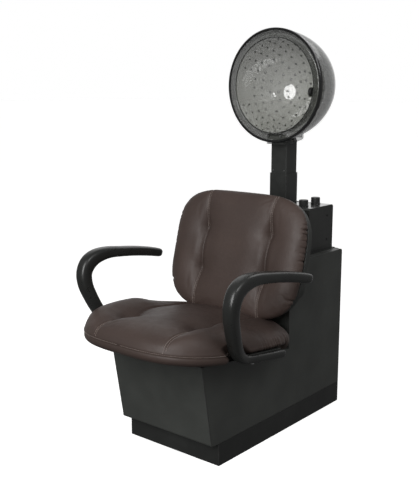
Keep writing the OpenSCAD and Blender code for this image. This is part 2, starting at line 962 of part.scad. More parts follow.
// Slot in the dome that lets the mast in
module mast_slot() {
    neck_plan(neck_wall, neck_slot_round, hood_z - hood_r - 30, pivot_z + 30);
}

module hood_outer_shell() {
    color([0.42, 0.43, 0.42, 0.5]) chair_frame()
        difference() {
            hood_turn()
                polygon(concat(bowl_arc(hood_r - 2, dome_depth), reversed(bowl_arc(hood_r - 2 - hood_wall, dome_depth - hood_wall))));
            mast_slot();
            pin_room();
        }
}

// Room for the pivot pin and its two heads
module pin_room() {
    rod_x(pin_r, -neck_w, neck_w, mast_y, pivot_z);
    rod_x(8.5, neck_w / 2, neck_w, mast_y, pivot_z);
    rod_x(8.5, -neck_w, -neck_w / 2, mast_y, pivot_z);
}

// Places its children on the hood's two screw axes, that far behind the rim
module at_hood_screws(depth) {
    for (x = [-hood_screw_x, hood_screw_x])
        translate([x, hood_y + depth, hood_z - hood_screw_drop])
            rotate([-90, 0, 0])
                children();
}

module hood_inner_bowl() {
    color([0.5, 0.51, 0.5, 0.5]) chair_frame()
        difference() {
            hood_turn()
                polygon(concat(bowl_arc(mouth_r + 2, bowl_depth), reversed(bowl_arc(mouth_r + 2 - hood_wall, bowl_depth - hood_wall))));
            translate([0, hood_y + 14, hood_z - 22])
                rotate([0, 90, 0])
                    cylinder(r = 6, h = mouth_r + 10);
        }
}

// Shallow channel that joins the dome's rim to the bowl's mouth
module hood_rim_ring() {
    inner = mouth_r + 2.2;
    outer = hood_r - 8.2;
    dip = 16;
    steps = 10;
    function channel(lift) = [for (i = [0:steps])
        [inner + (outer - inner) * i / steps, dip * sin(180 * i / steps) - 1 + lift]];
    color([0.4, 0.41, 0.4, 0.5]) chair_frame()
        difference() {
            union() {
                hood_turn()
                    polygon(concat(channel(0), reversed(channel(hood_wall))));
                at_hood_screws(hood_screw_front + 2.4)
                    cylinder(r = 5.5, h = 4.4);
            }
            at_hood_screws(-10)
                cylinder(r = 2.2, h = 40);
        }
}

// Black edging round the rim
module hood_edge_trim() {
    color("#141414") chair_frame()
        hood_turn()
            polygon([[hood_r - 8, -2], [hood_r - 6, -4], [hood_r - 1, -4], [hood_r + 1, -2],
                [hood_r + 1, 8], [hood_r - 1.9, 8], [hood_r - 1.9, 0], [hood_r - 8, 0]]);
}

// Moulded collar under the dome, open below for the mast and pinned to its ears
module hood_neck() {
    side = [[neck_front, 1012], [neck_front, 1060], [neck_back, 1060], [neck_back, 1034], [690, 1024], [640, 1016], [600, 1010]];
    color([0.3, 0.31, 0.3, 0.6]) chair_frame()
        difference() {
            intersection() {
                side_view(side, -neck_w / 2, neck_w / 2);
                neck_plan(0, neck_round, 1000, 1070);
            }
            dome_solid(hood_r - 1.9, dome_depth + 0.1);
            mast_slot();
            box([-neck_w, hood_y - 10, 1000], [neck_w, hood_y + 9, 1060]);
            pin_room();
        }
}

// Block behind the rim's channel that ties the ring to the neck
module hood_mount_block() {
    color("#1a1a1a") chair_frame()
        difference() {
            box([-38, hood_y + 20, 1030.5], [38, hood_y + 32, 1048]);
            at_hood_screws(10)
                cylinder(r = 2, h = 40);
        }
}

module hood_screws() {
    color("#c0c0c0") chair_frame()
        at_hood_screws(hood_screw_front)
            union() {
                cylinder(r = 4, h = 2.4);
                cylinder(r = 2, h = 19);
            }
}

module hood_pivot_pin() {
    reach = neck_w / 2;
    color("#8a8a8a") chair_frame()
        union() {
            rod_x(pin_r, -reach - 1, reach + 1, mast_y, pivot_z);
            rod_x(8, reach, reach + 4, mast_y, pivot_z);
            rod_x(8, -reach - 4, -reach, mast_y, pivot_z);
        }
}

module hood_washers() {
    color("#e6e2d6") chair_frame()
        for (x = [tube_w / 2 + 0.1, -tube_w / 2 - neck_gap])
            difference() {
                rod_x(11, x, x + neck_gap - 0.1, mast_y, pivot_z);
                rod_x(pin_r, x - 1, x + neck_gap + 1, mast_y, pivot_z);
            }
}

// Round cap over the air sensor, on the bowl's wall
module hood_sensor_cap() {
    color("#141414") chair_frame()
        translate([0, hood_y + 14, hood_z - 22])
            rotate([0, 90, 0])
                union() {
                    translate([0, 0, mouth_r - 20])
                        cylinder(r = 16, h = 12);
                    translate([0, 0, mouth_r - 8])
                        cylinder(r = 5.9, h = 11);
                }
}

// ---- drawing --------------------------------------------------------------

plinth_frame();
plinth_bottom_board();
cabinet_floor();
left_side_panel();
right_side_panel();
front_panel();
back_panel();
seat_deck();
riser_front_panel();
riser_top_panel();
intake_grille();
cord_grommet();
seat_rails();
seat_board();
seat_cushion();
back_brackets();
back_board();
back_shell();
back_cushion();
back_support_cover();
back_screws();
left_arm();
right_arm();
arm_plates();
arm_bolts();
blower_housing();
blower_motor();
motor_plate();
blower_impeller();
motor_shaft();
heater_duct();
heater_frame();
heater_coil();
thermostat();
mast_sleeve();
sleeve_guides();
mast_tube();
mast_screws();
control_box_wrap();
control_box_left_end();
control_box_right_end();
control_box_flange();
control_box_screws();
timer_body();
timer_shaft();
timer_knob();
heat_switch_body();
heat_switch_shaft();
heat_knob();
hood_outer_shell();
hood_inner_bowl();
hood_rim_ring();
hood_edge_trim();
hood_neck();
hood_mount_block();
hood_screws();
hood_pivot_pin();
hood_washers();
hood_sensor_cap();
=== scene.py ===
"""Looks of the hooded dryer chair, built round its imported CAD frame.

Lengths are in millimetres until they reach Blender.
"""

import json
import math

import bmesh
import bpy
import numpy as np
from mathutils import Matrix, Vector
from mathutils.bvhtree import BVHTree
from mathutils.geometry import delaunay_2d_cdt


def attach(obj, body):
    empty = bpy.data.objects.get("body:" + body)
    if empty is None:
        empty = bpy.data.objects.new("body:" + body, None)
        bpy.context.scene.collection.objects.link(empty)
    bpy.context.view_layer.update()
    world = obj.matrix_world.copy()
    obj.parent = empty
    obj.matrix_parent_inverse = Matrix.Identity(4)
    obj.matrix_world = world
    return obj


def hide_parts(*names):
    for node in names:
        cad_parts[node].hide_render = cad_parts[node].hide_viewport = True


MM = 0.001
SCENE = bpy.context.scene

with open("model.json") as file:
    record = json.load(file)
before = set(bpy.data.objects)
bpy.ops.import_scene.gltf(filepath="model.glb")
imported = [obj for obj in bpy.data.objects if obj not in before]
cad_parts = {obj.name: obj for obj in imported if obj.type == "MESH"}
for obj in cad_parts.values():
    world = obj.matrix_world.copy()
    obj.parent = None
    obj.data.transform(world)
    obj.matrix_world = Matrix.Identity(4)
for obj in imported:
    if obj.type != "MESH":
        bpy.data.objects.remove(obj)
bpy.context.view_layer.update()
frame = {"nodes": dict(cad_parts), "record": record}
NODES = frame["nodes"]

# ---- the chair's own frames -------------------------------------------------

FOOTPRINT_D = 749
DECK_H = 352.3
DECK_PITCH = 7
BACK_AT = (0, 300, 453)
BACK_LEAN = 15
HOOD_AT = (0, 561, 1225.5)

CHAIR = Matrix.Translation(Vector((0, -FOOTPRINT_D / 2, 0)) * MM) @ Matrix.Scale(MM, 4)
DECK = CHAIR @ Matrix.Translation((0, 0, DECK_H)) @ Matrix.Rotation(math.radians(-DECK_PITCH), 4, "X")
BACK = CHAIR @ Matrix.Translation(BACK_AT) @ Matrix.Rotation(math.radians(-BACK_LEAN), 4, "X")
HOOD = CHAIR @ Matrix.Translation(HOOD_AT)


# ---- materials --------------------------------------------------------------


class Nodes:
    """A new material's node tree, with short calls to add and join nodes."""

    def __init__(self, name):
        self.material = bpy.data.materials.new(name)
        self.material.use_nodes = True
        self.tree = self.material.node_tree
        self.shader = self.tree.nodes["Principled BSDF"]
        self.place = self.add("ShaderNodeTexCoord").outputs["Object"]

    def add(self, kind, **settings):
        node = self.tree.nodes.new(kind)
        for key, value in settings.items():
            setattr(node, key, value)
        return node

    def join(self, a, b):
        self.tree.links.new(a, b)

    def noise(self, scale, detail=3):
        node = self.add("ShaderNodeTexNoise")
        node.inputs["Scale"].default_value = scale
        node.inputs["Detail"].default_value = detail
        self.join(self.place, node.inputs["Vector"])
        return node.outputs["Fac"]

    def cells(self, scale):
        node = self.add("ShaderNodeTexVoronoi", feature="SMOOTH_F1")
        node.inputs["Scale"].default_value = scale
        self.join(self.place, node.inputs["Vector"])
        return node.outputs["Distance"]

    def spread(self, fac, low, high, start=0.3, end=0.7):
        """Stretches a pattern's start..end to low..high."""
        node = self.add("ShaderNodeMapRange")
        for key, value in (("From Min", start), ("From Max", end), ("To Min", low), ("To Max", high)):
            node.inputs[key].default_value = value
        self.join(fac, node.inputs["Value"])
        return node.outputs["Result"]

    def blend(self, fac, first, second):
        node = self.add("ShaderNodeMix", data_type="RGBA")
        node.inputs["A"].default_value = (*first, 1)
        node.inputs["B"].default_value = (*second, 1)
        self.join(fac, node.inputs["Factor"])
        return node.outputs["Result"]

    def bump(self, height, distance):
        """Adds a layer of relief, distance metres high, on top of the ones before."""
        node = self.add("ShaderNodeBump")
        node.inputs["Distance"].default_value = distance
        node.inputs["Strength"].default_value = 1.0
        self.join(height, node.inputs["Height"])
        normal = self.shader.inputs["Normal"]
        if normal.links:
            self.join(normal.links[0].from_socket, node.inputs["Normal"])
        self.join(node.outputs["Normal"], normal)


def toned(colour, k):
    """The colour made k times as bright."""
    return tuple(min(1.0, c * k) for c in colour)


def surface(name, colour, rough, vary=0.12, vary_scale=9, rough_vary=0.06, specular=0.5, metallic=0.0,
            grain=(), coat=0.0, sheen=0.0):
    """A finish with uneven colour and roughness, and relief from grain = ((kind, scale, metres), ...)."""
    n = Nodes(name)
    shader = n.shader
    patches = n.spread(n.noise(vary_scale, 5), 0, 1)
    n.join(n.blend(patches, toned(colour, 1 - vary), toned(colour, 1 + vary)), shader.inputs["Base Color"])
    wear = n.spread(n.noise(vary_scale * 4, 4), rough - rough_vary, rough + rough_vary)
    n.join(wear, shader.inputs["Roughness"])
    shader.inputs["Metallic"].default_value = metallic
    shader.inputs["Specular IOR Level"].default_value = specular
    shader.inputs["Coat Weight"].default_value = coat
    shader.inputs["Coat Roughness"].default_value = 0.12
    shader.inputs["Sheen Weight"].default_value = sheen
    for kind, scale, metres in grain:
        pattern = n.cells(scale) if kind == "cells" else n.noise(scale, 2)
        n.bump(pattern, metres)
    return n.material


def leather():
    """Dark brown upholstery: pebbled grain, soft wrinkles and a slightly rubbed tone."""
    colour = (0.0530, 0.0358, 0.0302)
    n = Nodes("leather_dark_brown")
    shader = n.shader
    rubbed = n.spread(n.noise(7, 6), 0, 1)
    n.join(n.blend(rubbed, toned(colour, 0.86), toned(colour, 1.16)), shader.inputs["Base Color"])
    n.join(n.spread(n.noise(40, 4), 0.48, 0.58), shader.inputs["Roughness"])
    shader.inputs["Specular IOR Level"].default_value = 0.38
    n.bump(n.noise(55, 3), 0.0006)
    n.bump(n.cells(620), 0.00016)
    n.bump(n.noise(1500, 2), 0.00006)
    return n.material


def smoke(name, alpha, colour, rough=0.14, gloss=0.5, coat=0.0):
    """Clear moulding with a smoke tint, denser where it is seen edge on."""
    n = Nodes(name)
    shader = n.shader
    streaks = n.spread(n.noise(14, 4), 0, 1)
    n.join(n.blend(streaks, toned(colour, 0.92), toned(colour, 1.08)), shader.inputs["Base Color"])
    n.join(n.spread(n.noise(20, 3), rough - 0.015, rough + 0.02), shader.inputs["Roughness"])
    edge_on = n.add("ShaderNodeLayerWeight")
    edge_on.inputs["Blend"].default_value = 0.35
    n.join(n.spread(edge_on.outputs["Facing"], alpha, min(1, alpha + 0.22), 0.0, 1.0), shader.inputs["Alpha"])
    shader.inputs["Specular IOR Level"].default_value = gloss
    shader.inputs["Coat Weight"].default_value = coat
    shader.inputs["Coat Roughness"].default_value = 0.07
    shader.inputs["Coat IOR"].default_value = 1.9
    n.bump(n.noise(9, 1), 0.0003)
    return n.material


LAMINATE = surface("laminate_black", (0.0450, 0.0475, 0.0438), 0.42, vary=0.14, specular=0.38,
                   grain=(("cells", 520, 0.00010), ("noise", 1300, 0.00005)))
WORN_LAMINATE = surface("laminate_edge", (0.034, 0.034, 0.033), 0.40, vary=0.35, vary_scale=40,
                        grain=(("noise", 600, 0.00010),))
PLINTH = surface("laminate_plinth", (0.0178, 0.0185, 0.0176), 0.46, vary=0.16, specular=0.34,
                 grain=(("cells", 520, 0.00010),))
RAW_BOARD = surface("particle_board", (0.33, 0.24, 0.16), 0.75, vary=0.3, vary_scale=120,
                    grain=(("cells", 400, 0.0004), ("noise", 90, 0.0004)))
LEATHER = leather()
THREAD = surface("thread_brown", (0.22, 0.175, 0.152), 0.62, vary=0.18, vary_scale=160,
                 grain=(("noise", 2400, 0.00012),), sheen=0.2)
MOULDING = surface("moulding_textured_black", (0.0290, 0.0305, 0.0284), 0.48, specular=0.4,
                   grain=(("cells", 900, 0.00012), ("noise", 200, 0.00015)))
URETHANE = surface("urethane_black", (0.0165, 0.0171, 0.0161), 0.30, vary=0.15, rough_vary=0.05,
                   grain=(("noise", 700, 0.00006), ("cells", 1500, 0.00004)))
POWDER = surface("powder_coat_black", (0.0215, 0.0225, 0.0212), 0.38, specular=0.42,
                 grain=(("noise", 900, 0.00008), ("cells", 380, 0.00006)))
# Lighter than the powder coat, for its rounded edges: partly wear, partly a painted highlight along the edges
POWDER_EDGE_WEAR_AND_HIGHLIGHT = surface("powder_coat_edge_wear_and_highlight", (0.030, 0.031, 0.030), 0.34, vary=0.3, vary_scale=50,
                      grain=(("noise", 700, 0.00008),))
BOX_POWDER = surface("box_powder_coat", (0.0240, 0.0250, 0.0236), 0.18, specular=0.9, rough_vary=0.04,
                     grain=(("noise", 700, 0.00006),), coat=0.6)
GALVANISED = surface("galvanised_sheet", (0.50, 0.52, 0.53), 0.42, vary=0.2, vary_scale=60, metallic=1.0,
                     grain=(("cells", 90, 0.00012),))
MOTOR = surface("motor_enamel", (0.16, 0.17, 0.18), 0.4, grain=(("noise", 500, 0.0001),))
ZINC = surface("zinc_plate", (0.62, 0.62, 0.63), 0.26, vary=0.1, vary_scale=300, metallic=1.0,
               grain=(("noise", 1800, 0.00004),))
DULL_ZINC = surface("zinc_dull", (0.22, 0.22, 0.22), 0.42, vary=0.2, vary_scale=300, metallic=1.0,
                    grain=(("noise", 1800, 0.00005),))
BLACKENED = surface("blackened_steel", (0.05, 0.05, 0.05), 0.34, metallic=1.0,
                    grain=(("noise", 1500, 0.00004),))
ALUMINIUM = surface("pressed_aluminium", (0.65, 0.66, 0.67), 0.36, metallic=1.0,
                    grain=(("noise", 800, 0.0001),))
MICA = surface("mica_board", (0.60, 0.55, 0.44), 0.55, vary=0.2, vary_scale=80,
               grain=(("cells", 150, 0.0002),))
WIRE = surface("resistance_wire", (0.55, 0.40, 0.28), 0.35, metallic=1.0,
               grain=(("noise", 1500, 0.00004),))
NYLON = surface("natural_nylon", (0.75, 0.72, 0.66), 0.42, vary=0.05, grain=(("noise", 600, 0.00006),))
PLASTIC = surface("black_plastic", (0.0150, 0.0154, 0.0152), 0.40, specular=0.45,
                  grain=(("noise", 1300, 0.00006),))
GLOSS = surface("black_edging", (0.0085, 0.0088, 0.0088), 0.22, specular=0.5,
                grain=(("noise", 500, 0.00003),))
RUBBER = surface("black_rubber", (0.016, 0.016, 0.016), 0.6, grain=(("noise", 900, 0.0001),))
PAINT = surface("dial_print", (0.55, 0.56, 0.55), 0.5, vary=0.08, vary_scale=200,
                grain=(("noise", 1500, 0.00003),))
DUST_COVER = surface("dust_cover_cloth", (0.012, 0.012, 0.012), 0.85, vary=0.25, vary_scale=300,
                     specular=0.2, grain=(("cells", 900, 0.00015),))
SMOKE_DOME = smoke("smoke_dome", 0.33, (0.072, 0.076, 0.068))
SMOKE_BOWL = smoke("smoke_bowl", 0.35, (0.218, 0.226, 0.178), rough=0.08, gloss=1.0, coat=1.0)
# Near-black and nearly opaque: painted shade for the air holes' walls and lips
SMOKE_HOLE_SHADE = smoke("smoke_hole_painted_shade", 0.96, (0.010, 0.011, 0.010))
SMOKE_RING = smoke("smoke_ring", 0.50, (0.095, 0.099, 0.090))
SMOKE_NECK = smoke("smoke_neck", 0.30, (0.085, 0.088, 0.084))

SLOT_FINISH = {
    "laminate": LAMINATE, "raw_board": RAW_BOARD, "leather": LEATHER, "shell_plastic": MOULDING,
    "arm_urethane": URETHANE, "black_steel": POWDER, "galvanised": GALVANISED, "motor_steel": MOTOR,
    "bright_steel": ZINC, "black_screws": BLACKENED, "fan_aluminium": ALUMINIUM, "mica": MICA,
    "heater_wire": WIRE, "nylon": NYLON, "black_plastic": PLASTIC, "black_rubber": RUBBER,
    "smoke_plastic": SMOKE_DOME,
}
NODE_FINISH = {
    "plinth_frame": PLINTH, "seat_board": DUST_COVER, "hood_edge_trim": GLOSS, "hood_inner_bowl": SMOKE_BOWL,
    "hood_rim_ring": SMOKE_RING, "hood_neck": SMOKE_NECK, "control_box_wrap": BOX_POWDER,
    "mast_screws": DULL_ZINC, "hood_screws": DULL_ZINC, "hood_pivot_pin": DULL_ZINC,
}


def paint_nodes():
    """Gives every CAD node the finish of its slot, or its own."""
    for part in frame["record"]["subparts"]:
        node = NODES[part["node"]]
        finish = NODE_FINISH.get(part["node"], SLOT_FINISH[part["material_slot"]])
        node.data.materials.clear()
        node.data.materials.append(finish)


def soften_edges():
    """Rounds the hard edges of boards, sheets and mouldings, and shows a little wear on them; the lighter
    edges of powder coat are also a painted highlight.
    """
    rounded = {
        LAMINATE: (WORN_LAMINATE, 0.9), PLINTH: (WORN_LAMINATE, 0.8), POWDER: (POWDER_EDGE_WEAR_AND_HIGHLIGHT, 0.5),
        BOX_POWDER: (POWDER_EDGE_WEAR_AND_HIGHLIGHT, 0.4), MOULDING: (MOULDING, 3.0), SMOKE_NECK: (SMOKE_NECK, 1.2),
    }
    # Rounding spoils the shading of these
    left_alone = ("intake_grille", "control_box_flange", "mast_tube", "mast_sleeve", "back_panel")
    for name, node in NODES.items():
        finish = node.data.materials[0]
        if finish not in rounded or name in left_alone:
            continue
        edge_finish, width = rounded[finish]
        if edge_finish != finish:
            node.data.materials.append(edge_finish)
        attribute = node.data.attributes.get("custom_normal")
        if attribute:
            node.data.attributes.remove(attribute)
        node.data.polygons.foreach_set("use_smooth", [True] * len(node.data.polygons))
        weld = node.modifiers.new("weld", "WELD")
        weld.merge_threshold = 0.00002
        bevel = node.modifiers.new("bevel", "BEVEL")
        bevel.width = width * MM
        bevel.segments = 3
        bevel.limit_method = "ANGLE"
        bevel.angle_limit = math.radians(35)
        bevel.harden_normals = True
        bevel.material = len(node.data.materials) - 1 if edge_finish != finish else -1


# ---- mesh helpers -----------------------------------------------------------


def piece(name, points, faces, place, material, smooth=True):
    """A new mesh from points in a frame's millimetres."""
    mesh = bpy.data.meshes.new(name)
    mesh.from_pydata([place @ Vector(p) for p in points], [], faces)
    mesh.polygons.foreach_set("use_smooth", [smooth] * len(mesh.polygons))
    mesh.materials.append(material)
    mesh.update()
    obj = bpy.data.objects.new(name, mesh)
    SCENE.collection.objects.link(obj)
    return obj


def bake(obj):
    """Puts the result of the object's modifiers into its mesh."""
    graph = bpy.context.evaluated_depsgraph_get()
    graph.update()
    done = bpy.data.meshes.new_from_object(obj.evaluated_get(graph))
    old = obj.data
    obj.modifiers.clear()
    obj.data = done
    done.name = obj.name
    bpy.data.meshes.remove(old)
    done.polygons.foreach_set("use_smooth", [True] * len(done.polygons))


def outward(obj):
    """Turns the mesh's faces to point outwards."""
    bm = bmesh.new()
    bm.from_mesh(obj.data)
    bmesh.ops.recalc_face_normals(bm, faces=bm.faces)
    bm.to_mesh(obj.data)
    bm.free()


def mesh_points(mesh, place):
    """A mesh's points as an array in a frame's millimetres."""
    world = np.empty(len(mesh.vertices) * 3, np.float64)
    mesh.vertices.foreach_get("co", world)
    inverse = np.array(place.inverted())
    return world.reshape(-1, 3) @ inverse[:3, :3].T + inverse[:3, 3]


def local(obj, place):
    return mesh_points(obj.data, place)


def local_normals(obj, place):
    world = np.empty(len(obj.data.vertices) * 3, np.float64)
    obj.data.vertex_normals.foreach_get("vector", world)
    turn = np.array(place.to_3x3().normalized())
    return world.reshape(-1, 3) @ turn


def set_local(obj, place, points):
    matrix = np.array(place)
    world = points @ matrix[:3, :3].T + matrix[:3, 3]
    obj.data.vertices.foreach_set("co", world.ravel())
    obj.data.update()


def superellipse(angle, n):
    """Point on a unit superellipse; angle may be an array."""
    c, s = np.cos(angle), np.sin(angle)
    return np.sign(c) * np.abs(c) ** (2 / n), np.sign(s) * np.abs(s) ** (2 / n)


def smooth_step(x, start, end):
    """Goes smoothly from 0 at start to 1 at end."""
    t = np.clip((x - start) / (end - start), 0, 1)
    return t * t * (3 - 2 * t)


def bell(x, width):
    """1 at x = 0, and close to 0 beyond twice the width."""
    return np.exp(-((x / width) ** 2))


def ring_faces(rings, sides):
    """Quads between rings of points, and one face on each end."""
    faces = []
    for k in range(rings - 1):
        for i in range(sides):
            j = (i + 1) % sides
            faces.append((k * sides + i, k * sides + j, (k + 1) * sides + j, (k + 1) * sides + i))
    faces.append(tuple(range(sides - 1, -1, -1)))
    faces.append(tuple((rings - 1) * sides + i for i in range(sides)))
    return faces


# ---- upholstery -------------------------------------------------------------

PUFF_FRAMES = 20


def puff(obj, place, held, cap, pressure=4.0):
    """Blows the closed mesh up as cloth, with the held points fixed, and moves none further than cap."""
    start = local(obj, place)
    group = obj.vertex_groups.new(name="held")
    group.add([int(i) for i in np.nonzero(held(start))[0]], 1.0, "REPLACE")
    cloth = obj.modifiers.new("cloth", "CLOTH")
    settings = cloth.settings
    settings.vertex_group_mass = group.name
    settings.use_pressure = True
    settings.uniform_pressure_force = pressure
    settings.quality = 4
    settings.effector_weights.gravity = 0
    cloth.collision_settings.use_collision = False
    cloth.point_cache.frame_start = 1
    cloth.point_cache.frame_end = PUFF_FRAMES
    for number in range(1, PUFF_FRAMES + 1):
        SCENE.frame_set(number)
    graph = bpy.context.evaluated_depsgraph_get()
    moved = mesh_points(obj.evaluated_get(graph).to_mesh(), place)
    obj.evaluated_get(graph).to_mesh_clear()
    obj.modifiers.clear()
    obj.vertex_groups.clear()
    SCENE.frame_set(1)
    step = moved - start
    length = np.linalg.norm(step, axis=1, keepdims=True)
    start = start + step * np.minimum(1, cap / np.maximum(length, 1e-6))
    set_local(obj, place, start)
    relax = obj.modifiers.new("relax", "SMOOTH")
    relax.factor = 0.5
    relax.iterations = 3
    finer = obj.modifiers.new("finer", "SUBSURF")
    finer.levels = 1
    finer.render_levels = 1
    bake(obj)


def remesh(obj, voxel):
    """Rebuilds the mesh with an even net, voxel millimetres wide."""
    modifier = obj.modifiers.new("remesh", "REMESH")
    modifier.mode = "VOXEL"
    modifier.voxel_size = voxel * MM
    modifier.use_smooth_shade = True
    bake(obj)


def crowned_form(levels, half_w, half_d, n_low, n_high, sides=96):
    """Rings of points (x, y, level); the outline's squareness is n_low for y < 0 and n_high above."""
    turn = np.linspace(0, 2 * math.pi, sides, endpoint=False)
    x, y = superellipse(turn, np.where(turn > math.pi, n_low, n_high))
    points = []
    for level, share in levels:
        points += [(half_w * share * a, half_d * share * b, level) for a, b in zip(x, y)]
    return points, ring_faces(len(levels), sides)


SEAT_HALF_W = 290
SEAT_HALF_D = 318
SEAT_MID = 62
SEAT_N_FRONT = 3
SEAT_N_REAR = 4
# The tufts' distance from the cover's middle line, and their place along it
SEAT_TUFT = (133, -71)
# The cover sits askew: the tuft at +X is moved back and the other one forward by this much each
SEAT_ASKEW = 29
# and the front of the cover is moved to +X by this much
SEAT_SHIFT = 28
WELT_LEVEL = 49


def seat_shift(y):
    """How far to +X the front of the cover sits on its board."""
    return SEAT_SHIFT * (1 - smooth_step(y, -160, 60))


def seat_plan(p):
    """Distance from the cover's own middle line, and place along it."""
    side = np.abs(p[:, 0] - seat_shift(p[:, 1]))
    return side, p[:, 1] - SEAT_ASKEW * np.clip(p[:, 0] / SEAT_TUFT[0], -1, 1)


def seat_seam(along):
    """Distance of the seat's lengthwise seams from the cover's middle line."""
    return 143 - 10 * bell(along - SEAT_TUFT[1], 95) - 3 * smooth_step(along, 60, 300)


def seat_relief(p):
    """How far the top is drawn down, in millimetres, by the tufts and the seams."""
    side, y = seat_plan(p)
    off_seam = side - seat_seam(y)
    along = y - SEAT_TUFT[1]
    away = np.hypot(side - SEAT_TUFT[0], along * 0.8)
    tuft = 22 * bell(away, 38) + 9 * bell(away, 14)
    valley = 3.5 + 11 * bell(along - 10, 130) - 2 * smooth_step(y, 150, 330)
    return tuft + valley * bell(off_seam, 20) + 4 * bell(off_seam, 7)


def seat_cushion():
    """The seat's cover: a crowned form drawn in at its seams and tufts, then blown up."""
    # Height over the deck, and share of the full outline there
    levels = [(46, 0.01), (46, 0.84), (24, 0.865), (18.5, 0.895), (18.5, 0.925), (23, 0.962), (34, 0.985),
              (46, 0.993), (56, 0.993), (70, 0.988), (83, 0.970), (95, 0.938), (105, 0.885), (112, 0.82),
              (118, 0.72), (122, 0.58), (124.5, 0.38), (125.5, 0.18), (126, 0.01)]
    points, faces = crowned_form(levels, SEAT_HALF_W, SEAT_HALF_D, SEAT_N_FRONT, SEAT_N_REAR)
    seat = piece("seat_cushion_leather", points, faces, DECK, LEATHER)
    p = local(seat, DECK)
    p[:, 1] += SEAT_MID
    set_local(seat, DECK, p)
    outward(seat)
    remesh(seat, 6.5)

    p = local(seat, DECK)
    top = smooth_step(p[:, 2], 70, 104)
    side = np.abs(p[:, 0])
    front_lobe = 12 * bell(side - 215, 55) * (1 - smooth_step(p[:, 1], 20, 110))
    full_side = 17 * smooth_step(-p[:, 0], 90, 240) * bell(p[:, 1] - 70, 210)
    rear_fall = 15 * smooth_step(side, 130, 250) * smooth_step(p[:, 1], 60, 170)
    p[:, 2] += (front_lobe + full_side - rear_fall - seat_relief(p)) * top
    set_local(seat, DECK, p)

    def held(q):
        side, along = seat_plan(q)
        tuft = np.hypot(side - SEAT_TUFT[0], along - SEAT_TUFT[1]) < 11
        seam = np.abs(side - seat_seam(along)) < 4
        welt = np.abs(q[:, 2] - WELT_LEVEL) < 3.4
        return (q[:, 2] < 30) | ((tuft | seam) & (q[:, 2] > 60)) | ((q[:, 2] < 60) & welt)

    puff(seat, DECK, held, cap=9)
    fit_axis(seat, DECK, 0, 0, SEAT_HALF_W)
    fit_axis(seat, DECK, 1, SEAT_MID, SEAT_HALF_D)
    shape_seat(seat)
    return seat


def fit_axis(obj, place, axis, middle, half):
    """Stretches a mesh along one axis to reach from middle - half to middle + half."""
    p = local(obj, place)
    lowest, highest = p[:, axis].min(), p[:, axis].max()
    p[:, axis] = middle - half + (p[:, axis] - lowest) * 2 * half / (highest - lowest)
    set_local(obj, place, p)


def seam_groove(off_seam):
    """Depth of a stitched seam, with the leather raised a little on both sides of it."""
    return 2.6 * bell(off_seam, 3.4) - 1.0 * bell(np.abs(off_seam) - 9, 5)


def pleats(along, wavelength, reach):
    """Uneven gathers along an edge: a wave that keeps changing its pitch and depth."""
    wave = np.sin(2 * math.pi * along / wavelength + 2.6 * np.sin(along / 29) + 1.2 * np.sin(along / 11.3))
    depth = 0.35 + 0.65 * np.sin(along / 21 + 0.8) ** 2
    return (0.5 + 0.5 * wave) ** 1.8 * depth * reach


def shape_seat(seat):
    """Seams, welt, gathers, and room for the arms' legs and feet."""
    p = local(seat, DECK)
    normal = local_normals(seat, DECK)
    side = np.abs(p[:, 0])
    height = p[:, 2]
    top = smooth_step(height, 60, 90)
    seam_side, along = seat_plan(p)
    p -= normal * (seam_groove(seam_side - seat_seam(along)) * top)[:, None]

    front = 1 - smooth_step(p[:, 1], -50, -20)
    rim = smooth_step(side / SEAT_HALF_W + np.abs(p[:, 1] - SEAT_MID) / SEAT_HALF_D, 0.9, 1.0)
    welt = (2.2 * bell(height - WELT_LEVEL, 3.0) - 1.3 * bell(height - WELT_LEVEL - 9, 6)) * front * rim
    band = 1.5 * bell(height - 33, 9) * front * rim
    p -= normal * (welt - band)[:, None]

    gathered = smooth_step(p[:, 1], 60, 130) * (1 - smooth_step(p[:, 1], 330, 370))
    gathered *= smooth_step(side, 235, 268)
    low = 1 - smooth_step(height, 45, 92)
    p -= normal * (pleats(p[:, 1] + 0.25 * height, 19, 5.0) * gathered * low)[:, None]

    # The lower edge is tucked up over the arms' feet
    over_foot = smooth_step(side, 236, 252) * smooth_step(p[:, 1], -60, -25)
    over_foot *= 1 - smooth_step(p[:, 1], 264, 292)
    p[:, 2] += 24 * over_foot * np.clip((62 - p[:, 2]) / 44, 0, 1)

    # The leather is pressed in where an arm's leg passes
    leg_y = -68 + (100 - np.clip(p[:, 2], 40, 125)) * 1.12
    pressed = (1 - smooth_step(np.abs(p[:, 1] - leg_y), 26, 62)) * (1 - smooth_step(p[:, 2], 112, 135))
    limit = 259.5 + (np.clip(p[:, 2], 39, 125) - 39) * 0.345
    side = np.abs(p[:, 0])
    p[:, 0] -= np.sign(p[:, 0]) * pressed * np.maximum(0, side - limit)
    set_local(seat, DECK, p)


BACK_HALF_W = 287
BACK_HALF_H = 222.5
BACK_MID = 187
BACK_N_LOW = 3.6
BACK_N_TOP = 3.9
# Heights of the tufts
BACK_TUFTS = (264, 117)
# Folds gathered at the back's side edges: height, depth, width, and slope, positive if it drops outwards
BACK_FOLDS = (
    (318, 3, 2.2, -0.12), (300, 7, 3, -0.12), (287, 6, 2.6, 0.12), (262, 3, 2.4, -0.12), (241, 4, 3, 0.12),
    (219, 3, 2.2, -0.12), (192, 5, 3.2, -0.12), (55, 8, 3.2, 0.12), (40, 3, 2.4, -0.12),
)


def back_seam(w):
    """Distance of the back's seams from the middle, at height w in the back's frame."""
    return 142 + 5 * smooth_step(w, 330, 410) + 3 * smooth_step(-w, -60, 30)


